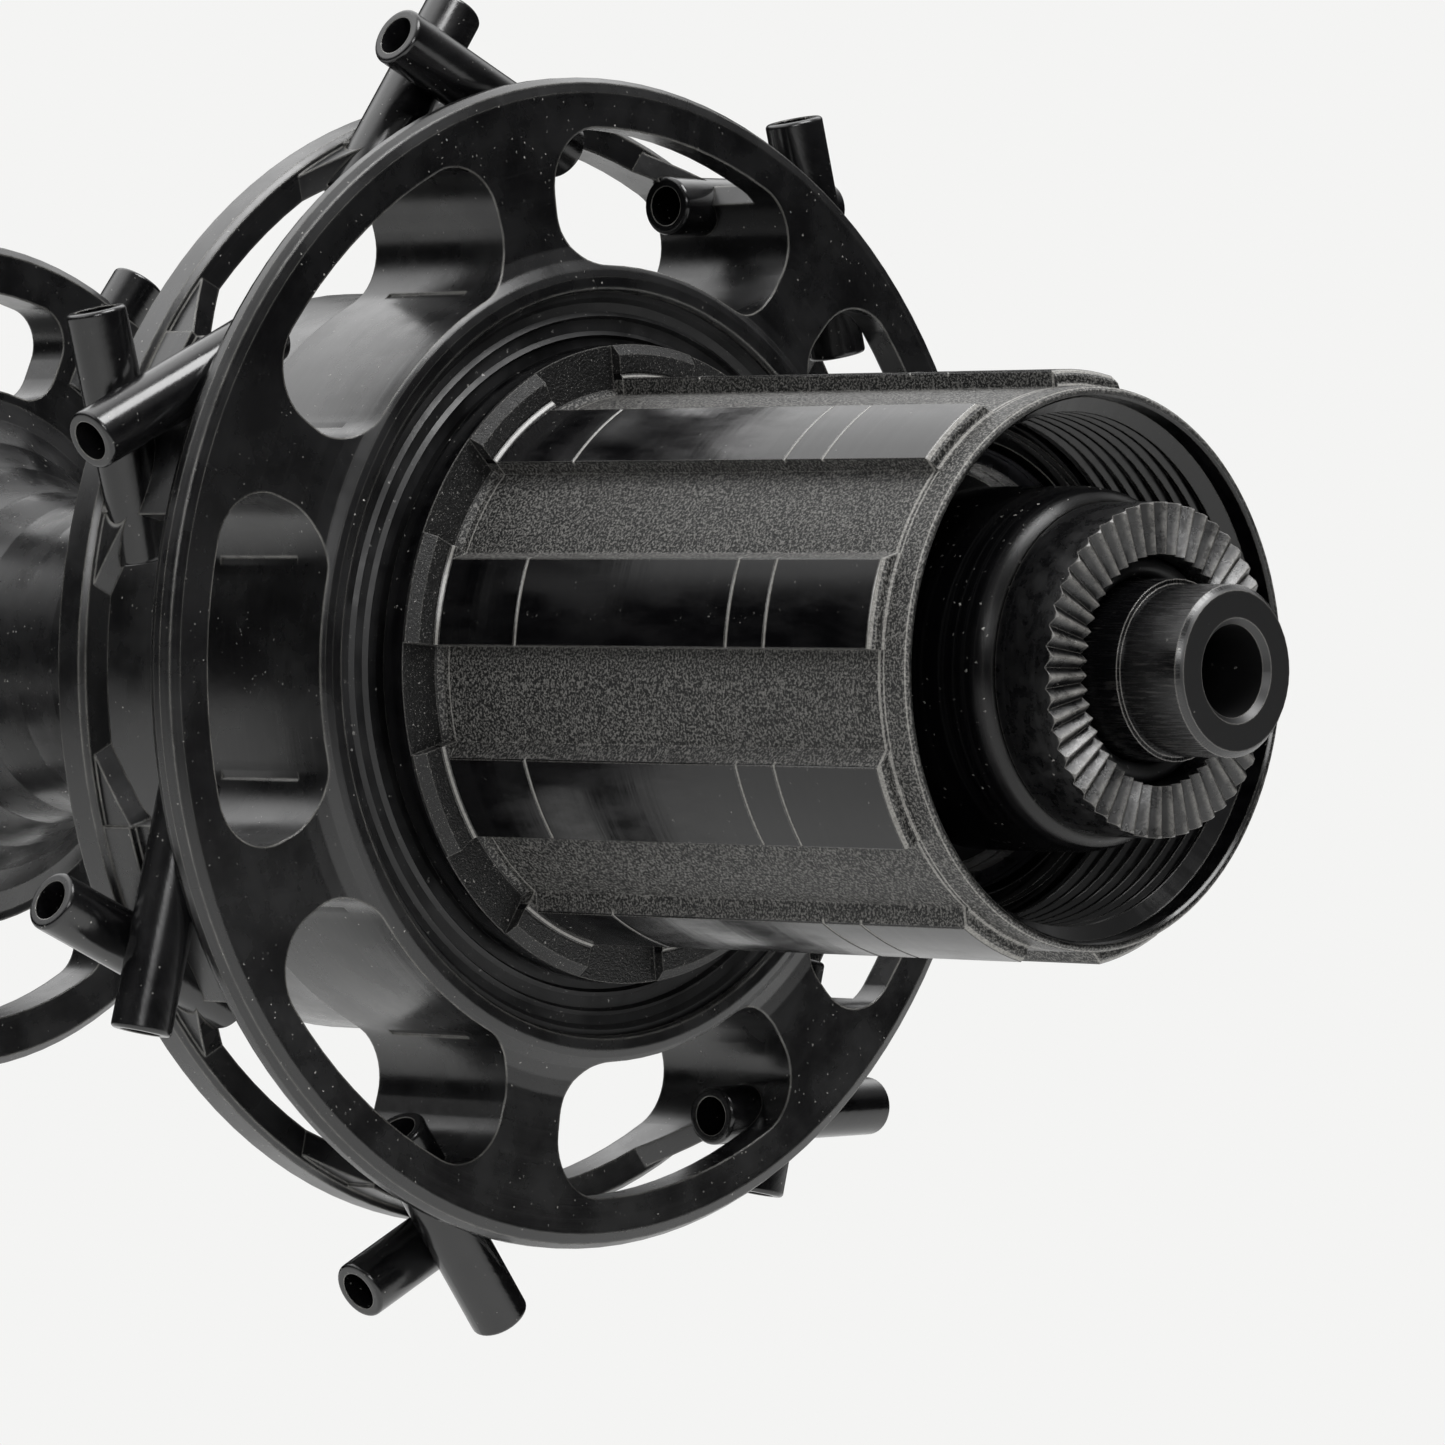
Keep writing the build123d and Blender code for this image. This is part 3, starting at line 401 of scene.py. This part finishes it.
def brushed_axle(settings):
    """Black anodised tube end, brushed along its length: short light scratches over glossy black."""
    material, tree, shader = new_material("black_anodised_brushed_axle")
    place, radius, along, angle = hub_coordinates(tree)
    stroke = node(
        tree,
        "ShaderNodeCombineXYZ",
        inputs={0: maths(tree, "MULTIPLY", angle, 34.0), 1: maths(tree, "MULTIPLY", along, 420.0), 2: 0.0},
    )
    scratches = node(
        tree,
        "ShaderNodeTexNoise",
        inputs={"Vector": stroke.outputs[0], "Scale": 1.0, "Detail": 4.0, "Roughness": 0.7},
    ).outputs[0]
    barrel = ramp_between(tree, radius, STUB_FROM_R * MM, STUB_FULL_R * MM)
    marks = maths(tree, "MULTIPLY", ramp_between(tree, scratches, 0.52, 0.74), barrel)
    patches = ramp_between(tree, grain(tree, place, 3.0, 2.0), 0.42, 0.60)
    scratched = maths(tree, "MULTIPLY", marks, patches)
    colour = blend_colours(tree, scratched, linear("#070708"), linear("#3f3d3b"))
    edge, rounded = edge_light(tree, settings.edge_mm)
    # painted highlight along sharp edges
    colour = blend_colours(tree, maths(tree, "MULTIPLY", edge, 0.6), colour, linear("#a8a5a0"))
    specks = dust(tree, place, 0.14, 0.12)
    colour = blend_colours(tree, specks, colour, linear("#b9b7b2"))
    end_face = maths(tree, "SUBTRACT", 1.0, barrel)
    gloss = ramp_between(tree, scratches, 0.3, 0.75, 0.16, 0.36)
    gloss = maths(tree, "MAXIMUM", gloss, maths(tree, "MULTIPLY", end_face, 0.42))
    height = maths(tree, "MULTIPLY", scratches, barrel)
    wire(tree, shader, colour, gloss, bump(tree, height, 0.006, 0.7, rounded), 1.65)
    return material


def toothed_nut(settings):
    """Black anodised end nut: its ring of teeth is rubbed down to grey, its recess holds dust."""
    material, tree, shader = new_material("black_anodised_worn_teeth")
    place, radius, along = hub_coordinates(tree)[:3]
    height = maths(tree, "ABSOLUTE", along)
    tooth_band = maths(
        tree,
        "MULTIPLY",
        ramp_between(tree, height, TEETH_FROM * MM, TEETH_FULL * MM),
        ramp_between(tree, radius, TEETH_FROM_R * MM, TEETH_FULL_R * MM),
    )
    smear = grain(tree, place, 1.1, 4.0, 0.65)
    fine = grain(tree, place, 0.16, 3.0, 0.7)
    rings = turned_lines(tree, along, radius, 0.25)
    bright_marks = maths(tree, "MULTIPLY", tooth_band, ramp_between(tree, smear, 0.30, 0.68, 0.15, 1.0))
    bright_marks = maths(tree, "MULTIPLY", bright_marks, ramp_between(tree, fine, 0.3, 0.65, 0.45, 1.0))
    colour = blend_colours(
        tree, ramp_between(tree, rings, 0.45, 0.7), linear("#070708"), linear("#121213")
    )
    colour = blend_colours(tree, maths(tree, "MULTIPLY", bright_marks, 0.75), colour, linear("#8f8d89"))
    edge, rounded = edge_light(tree, settings.edge_mm * 0.7)
    # painted highlight along sharp edges
    colour = blend_colours(tree, maths(tree, "MULTIPLY", edge, 0.5), colour, linear("#a5a29d"))
    outside = ramp_between(tree, radius, NUT_RECESS_FROM_R * MM, NUT_RECESS_FULL_R * MM)
    recess = maths(tree, "SUBTRACT", 1.0, outside)
    dusty = maths(tree, "MULTIPLY", recess, ramp_between(tree, fine, 0.60, 0.72))
    specks = maths(tree, "MAXIMUM", dust(tree, place, 0.15, 0.22), dusty)
    colour = blend_colours(tree, specks, colour, linear("#a8a6a2"))
    gloss = ramp_between(tree, smear, 0.3, 0.7, 0.20, 0.42)
    gloss = maths(tree, "MAXIMUM", gloss, maths(tree, "MULTIPLY", specks, 0.9))
    wire(tree, shader, colour, gloss, bump(tree, fine, 0.02, 0.7, rounded), ANODISED_IOR)
    return material


def moulded_rubber():
    """Moulded nitrile rubber: dull black with pale dust caught on it and in its ribs."""
    material, tree, shader = new_material("moulded_nitrile_rubber")
    place = object_place(tree)
    skin = grain(tree, place, 0.25, 3.0, 0.6)
    clouds = grain(tree, place, 4.0, 3.0, 0.6)
    colour = blend_colours(
        tree, ramp_between(tree, clouds, 0.35, 0.7), linear("#0d0d0e"), linear("#1e1e1f")
    )
    specks = dust(tree, place, 0.16, 0.30)
    lint = maths(tree, "MULTIPLY", ramp_between(tree, skin, 0.66, 0.76), 0.35)
    colour = blend_colours(tree, maths(tree, "MAXIMUM", specks, lint), colour, linear("#aaa9a6"))
    gloss = ramp_between(tree, clouds, 0.3, 0.7, 0.36, 0.58)
    wire(tree, shader, colour, gloss, bump(tree, skin, 0.02, 0.6), 1.52)
    return material


def turned_steel(name, settings, dark, light, rough_low, rough_high, pitch_mm):
    """Hardened steel, ground on its faces: grey metal with fine rings and a trace of oil."""
    material, tree, shader = new_material(name)
    place, radius, along = hub_coordinates(tree)[:3]
    rings = turned_lines(tree, along, radius, pitch_mm)
    oil = grain(tree, place, 3.0, 3.0, 0.6)
    colour = blend_colours(tree, ramp_between(tree, oil, 0.35, 0.7), linear(dark), linear(light))
    edge, rounded = edge_light(tree, settings.edge_mm)
    # painted highlight along sharp edges
    colour = blend_colours(tree, maths(tree, "MULTIPLY", edge, 0.5), colour, linear("#d9d8d4"))
    gloss = ramp_between(tree, oil, 0.3, 0.7, rough_low, rough_high)
    wire(tree, shader, colour, gloss, bump(tree, rings, 0.003, 0.6, rounded))
    shader.inputs["Metallic"].default_value = 1.0
    return material


def moulded_cage():
    """Moulded glass-filled nylon: warm brown with a faint mottle."""
    material, tree, shader = new_material("moulded_nylon_cage")
    place = object_place(tree)
    mottle = grain(tree, place, 0.6, 3.0, 0.6)
    colour = blend_colours(
        tree, ramp_between(tree, mottle, 0.35, 0.7), linear("#7a5a3a"), linear("#94714c")
    )
    gloss = ramp_between(tree, mottle, 0.3, 0.7, 0.42, 0.58)
    wire(tree, shader, colour, gloss, bump(tree, mottle, 0.01, 0.5), 1.53)
    return material


# ---------------------------------------------------------------- settings


class HubFinishSettings(bpy.types.PropertyGroup):
    blast_grain_mm: FloatProperty(
        name="Blast grain",
        description="Width of one dimple in the blasted grooves, in millimetres",
        default=0.15,
        min=0.05,
        max=1.0,
    )
    edge_mm: FloatProperty(
        name="Edge line",
        description="Width of the bright line on sharp edges, in millimetres",
        default=0.12,
        min=0.01,
        max=0.5,
    )


class HubStageSettings(bpy.types.PropertyGroup):
    lens: FloatProperty(
        name="Lens",
        description="Focal length on a 36 mm sensor",
        default=222.6,
        min=50.0,
        max=400.0,
    )
    distance: FloatProperty(
        name="Camera distance",
        description="From the camera to the point it looks at on the hub axis",
        default=0.531394,
        min=0.2,
        max=3.0,
        unit="LENGTH",
    )
    azimuth: FloatProperty(
        name="Azimuth",
        description="Camera angle round the hub",
        default=math.radians(-45.85),
        subtype="ANGLE",
    )
    roll: FloatProperty(
        name="Roll",
        description="Camera roll",
        default=math.radians(1.013),
        subtype="ANGLE",
    )
    aim: FloatVectorProperty(
        name="Aim",
        description="The point the camera looks at",
        default=(0.0, -0.030155, -0.003412),
        unit="LENGTH",
    )
    floor_drop: FloatProperty(
        name="Floor drop",
        description="Gap between the hub and the floor",
        default=0.16,
        min=0.0,
        unit="LENGTH",
    )
    ceiling: FloatProperty(
        name="Ceiling",
        description="Brightness of the pale ceiling in the hub's reflections",
        default=2.2,
        min=0.0,
    )
    dark_to: FloatProperty(
        name="Dark up to",
        description="Sine of the height up to which the room's walls are dark",
        default=0.28,
    )
    light_from: FloatProperty(
        name="Light from",
        description="Sine of the height from which the ceiling is fully bright",
        default=0.62,
    )
    backdrop: FloatVectorProperty(
        name="Backdrop",
        description="Pale colour round the hub",
        default=linear("#f4f4f3")[:3],
        subtype="COLOR",
    )


STAGE_PROPERTIES = tuple(HubStageSettings.__annotations__)


# ---------------------------------------------------------------- operators


def paint(node_name, material):
    """Gives a CAD node its finish."""
    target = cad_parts.get(node_name)
    if target is None:
        raise RuntimeError(f"the packed model has no node {node_name}")
    if not target.material_slots:
        target.data.materials.append(material)
    target.material_slots[0].link = "OBJECT"
    target.material_slots[0].material = material


class HUB_OT_freehub(bpy.types.Operator):
    """Finish the splined freehub body."""

    bl_idname = "hub.finish_freehub"
    bl_label = "Freehub body"

    def execute(self, context):
        paint("freehub_body", anodised_freehub(context.scene.hub_finish))
        return {"FINISHED"}


class HUB_OT_shell(bpy.types.Operator):
    """Finish the hub shell and its spoke sockets."""

    bl_idname = "hub.finish_shell"
    bl_label = "Hub shell and spoke sockets"

    def execute(self, context):
        settings = context.scene.hub_finish
        shell = anodised_turned(
            "black_anodised_turned_shell",
            settings,
            "#0b0b0c",
            "#161617",
            0.20,
            0.34,
            edge_width=1.8,
        )
        paint("hub_shell", shell)
        barrels = anodised_turned(
            "black_anodised_turned_sockets",
            settings,
            "#09090a",
            "#141415",
            0.13,
            0.24,
            ring_mm=0.12,
            edge_highlight_share=0.7,
        )
        paint("drive_spoke_sockets", barrels)
        paint("nondrive_spoke_sockets", barrels)
        return {"FINISHED"}


class HUB_OT_axle(bpy.types.Operator):
    """Finish the axle, end nuts, dust caps, collar and spacers."""

    bl_idname = "hub.finish_axle"
    bl_label = "Axle group"

    def execute(self, context):
        settings = context.scene.hub_finish
        paint("axle", brushed_axle(settings))
        nut = toothed_nut(settings)
        paint("drive_locknut", nut)
        paint("nondrive_locknut", nut)
        cap = anodised_turned(
            "black_anodised_turned_caps",
            settings,
            "#040405",
            "#070708",
            0.20,
            0.28,
            ring_mm=0.2,
            edge_highlight_share=0.06,
            speck_share=0.4,
            speck_mm=0.12,
            edge_width=5.0,
            ior=1.42,
        )
        for name in ("drive_dust_cap", "nondrive_dust_cap", "preload_ring"):
            paint(name, cap)
        plain = turned_steel("turned_aluminium_spacer", settings, "#a9a9a6", "#c2c2bf", 0.25, 0.4, 0.15)
        for name in ("freehub_inner_spacer", "freehub_outer_spacer", "drive_axle_spacer"):
            paint(name, plain)
        return {"FINISHED"}


class HUB_OT_rubber(bpy.types.Operator):
    """Finish the rubber seals and O-rings."""

    bl_idname = "hub.finish_rubber"
    bl_label = "Rubber seals"

    def execute(self, context):
        rubber = moulded_rubber()
        for name in ("recess_seal", "nondrive_seal", "drive_o_ring", "nondrive_o_ring"):
            paint(name, rubber)
        return {"FINISHED"}


class HUB_OT_ratchet(bpy.types.Operator):
    """Finish the ratchet ring, pawls, springs, clip and screw."""

    bl_idname = "hub.finish_ratchet"
    bl_label = "Ratchet"

    def execute(self, context):
        settings = context.scene.hub_finish
        hard = turned_steel("ground_tool_steel", settings, "#77746f", "#94918b", 0.24, 0.38, 0.12)
        for name in ("ratchet_ring", "pawl_1", "pawl_2", "pawl_3"):
            paint(name, hard)
        dark = turned_steel("blued_spring_steel", settings, "#3a3a3d", "#55555a", 0.2, 0.34, 0.12)
        for name in ("pawl_spring", "freehub_circlip", "preload_screw"):
            paint(name, dark)
        return {"FINISHED"}


class HUB_OT_bearings(bpy.types.Operator):
    """Finish the four ball bearings."""

    bl_idname = "hub.finish_bearings"
    bl_label = "Ball bearings"

    def execute(self, context):
        settings = context.scene.hub_finish
        ring = turned_steel("ground_bearing_steel", settings, "#b3b2af", "#cfcecb", 0.12, 0.24, 0.1)
        ball = turned_steel("lapped_bearing_balls", settings, "#c9c9c8", "#dededd", 0.05, 0.1, 0.1)
        cage = moulded_cage()
        shield = moulded_rubber()
        for bearing in ("freehub_outer", "freehub_inner", "drive_hub", "nondrive_hub"):
            paint(f"{bearing}_bearing_inner_ring", ring)
            paint(f"{bearing}_bearing_outer_ring", ring)
            paint(f"{bearing}_bearing_balls", ball)
            paint(f"{bearing}_bearing_cage", cage)
            paint(f"{bearing}_bearing_shields", shield)
        return {"FINISHED"}


def soft_box(name, at, aim, width, height, power):
    """A rectangular studio lamp that faces a point."""
    data = bpy.data.lights.new(name, "AREA")
    data.shape = "RECTANGLE"
    data.size = width
    data.size_y = height
    data.energy = power
    lamp = bpy.data.objects.new(name, data)
    bpy.context.scene.collection.objects.link(lamp)
    lamp.location = at
    lamp.rotation_euler = (Vector(aim) - Vector(at)).to_track_quat("-Z", "Y").to_euler()
    return lamp


class HUB_OT_stage(bpy.types.Operator):
    """Make the floor, the lamps, the pale surroundings and the camera."""

    bl_idname = "hub.build_stage"
    bl_label = "Stage"

    def execute(self, context):
        settings = context.scene.hub_stage
        scene = context.scene
        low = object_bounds()[0]
        # camera
        back = Vector((math.sin(settings.azimuth), -math.cos(settings.azimuth), 0.0))
        right = Vector((math.cos(settings.azimuth), math.sin(settings.azimuth), 0.0))
        up = Vector((0.0, 0.0, 1.0))
        cosine, sine = math.cos(settings.roll), math.sin(settings.roll)
        right_rolled = right * cosine + up * sine
        up_rolled = up * cosine - right * sine
        data = bpy.data.cameras.new("hub_camera")
        data.lens = settings.lens
        data.sensor_width = 36.0
        data.clip_start = 0.01
        data.clip_end = 50.0
        camera = bpy.data.objects.new("hub_camera", data)
        scene.collection.objects.link(camera)
        turn = Matrix((right_rolled, up_rolled, back)).transposed().to_4x4()
        camera.matrix_world = Matrix.Translation(Vector(settings.aim) + back * settings.distance) @ turn
        scene.camera = camera
        # floor
        bpy.ops.object.select_all(action="DESELECT")
        bpy.ops.mesh.primitive_circle_add(
            vertices=96, radius=1.4, fill_type="NGON", location=(0, 0, low.z - settings.floor_drop)
        )
        floor = context.active_object
        floor.name = "studio_floor"
        matt, tree, shader = new_material("matt_white_paper")
        paper = object_place(tree)
        fibres = ramp_between(tree, grain(tree, paper, 2.0, 3.0), 0.3, 0.7)
        tint = blend_colours(tree, fibres, linear("#d6d6d5"), linear("#dededd"))
        tree.links.new(tint, shader.inputs["Base Color"])
        shader.inputs["Roughness"].default_value = 0.9
        floor.data.materials.append(matt)
        floor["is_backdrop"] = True
        # surroundings: pale to the eye, dimmer in the hub's own reflections
        world = bpy.data.worlds.new("pale_studio")
        scene.world = world
        world.use_nodes = True
        sky = world.node_tree
        sky.nodes.clear()
        seen = node(sky, "ShaderNodeLightPath").outputs["Is Camera Ray"]
        pale = node(sky, "ShaderNodeBackground", inputs={0: (*settings.backdrop, 1.0), 1: 1.0})
        direction = node(sky, "ShaderNodeTexCoord").outputs["Generated"]
        parts = node(sky, "ShaderNodeSeparateXYZ", inputs={0: direction})
        height = ramp_between(sky, parts.outputs[2], settings.dark_to, settings.light_from)
        far_side = ramp_between(sky, parts.outputs[1], -0.30, 0.35, 0.12, 1.0)
        ceiling = maths(sky, "MULTIPLY", maths(sky, "MULTIPLY", height, far_side), settings.ceiling)
        ceiling = maths(sky, "ADD", ceiling, 0.015)
        dim = node(sky, "ShaderNodeBackground", inputs={0: (1.0, 1.0, 1.0, 1.0), 1: ceiling})
        both = node(sky, "ShaderNodeMixShader", inputs={0: seen, 1: dim.outputs[0], 2: pale.outputs[0]})
        node(sky, "ShaderNodeOutputWorld", inputs={0: both.outputs[0]})
        # lamps: a box overhead towards the freehub, and a small one above the camera
        middle = (0.0, -0.03, 0.0)
        soft_box("overhead_box", (0.03, -0.36, 0.74), middle, 0.50, 0.36, 6.0)
        soft_box("front_box", (-0.55, -0.58, 0.27), middle, 0.30, 0.20, 1.6)
        scene.view_settings.view_transform = "Standard"
        scene.view_settings.look = "None"
        scene.view_settings.exposure = 0.0
        scene.view_settings.gamma = 1.0
        return {"FINISHED"}


class HUB_PT_panel(bpy.types.Panel):
    """Lists the hub's finishes and its stage."""

    bl_idname = "HUB_PT_panel"
    bl_label = "Rear hub"
    bl_space_type = "VIEW_3D"
    bl_region_type = "UI"
    bl_category = "Rear hub"

    def draw(self, context):
        layout = self.layout
        finish = context.scene.hub_finish
        layout.prop(finish, "blast_grain_mm")
        layout.prop(finish, "edge_mm")
        for operator in FINISH_OPERATORS:
            layout.operator(operator.bl_idname)
        stage = context.scene.hub_stage
        for name in STAGE_PROPERTIES:
            layout.prop(stage, name)
        layout.operator(HUB_OT_stage.bl_idname)


FINISH_OPERATORS = (
    HUB_OT_freehub,
    HUB_OT_shell,
    HUB_OT_axle,
    HUB_OT_rubber,
    HUB_OT_ratchet,
    HUB_OT_bearings,
)
CLASSES = (HubFinishSettings, HubStageSettings, *FINISH_OPERATORS, HUB_OT_stage, HUB_PT_panel)


def register():
    for each in CLASSES:
        bpy.utils.register_class(each)
    bpy.types.Scene.hub_finish = PointerProperty(type=HubFinishSettings)
    bpy.types.Scene.hub_stage = PointerProperty(type=HubStageSettings)


def unregister():
    del bpy.types.Scene.hub_stage
    del bpy.types.Scene.hub_finish
    for each in reversed(CLASSES):
        bpy.utils.unregister_class(each)


def write_sizes():
    """Brings the view layer up to date."""
    bpy.context.view_layer.update()


def main():
    register()
    bpy.ops.hub.finish_freehub()
    bpy.ops.hub.finish_shell()
    bpy.ops.hub.finish_axle()
    bpy.ops.hub.finish_rubber()
    bpy.ops.hub.finish_ratchet()
    bpy.ops.hub.finish_bearings()
    bpy.ops.hub.build_stage()
    write_sizes()


if __name__ == "__main__":
    main()
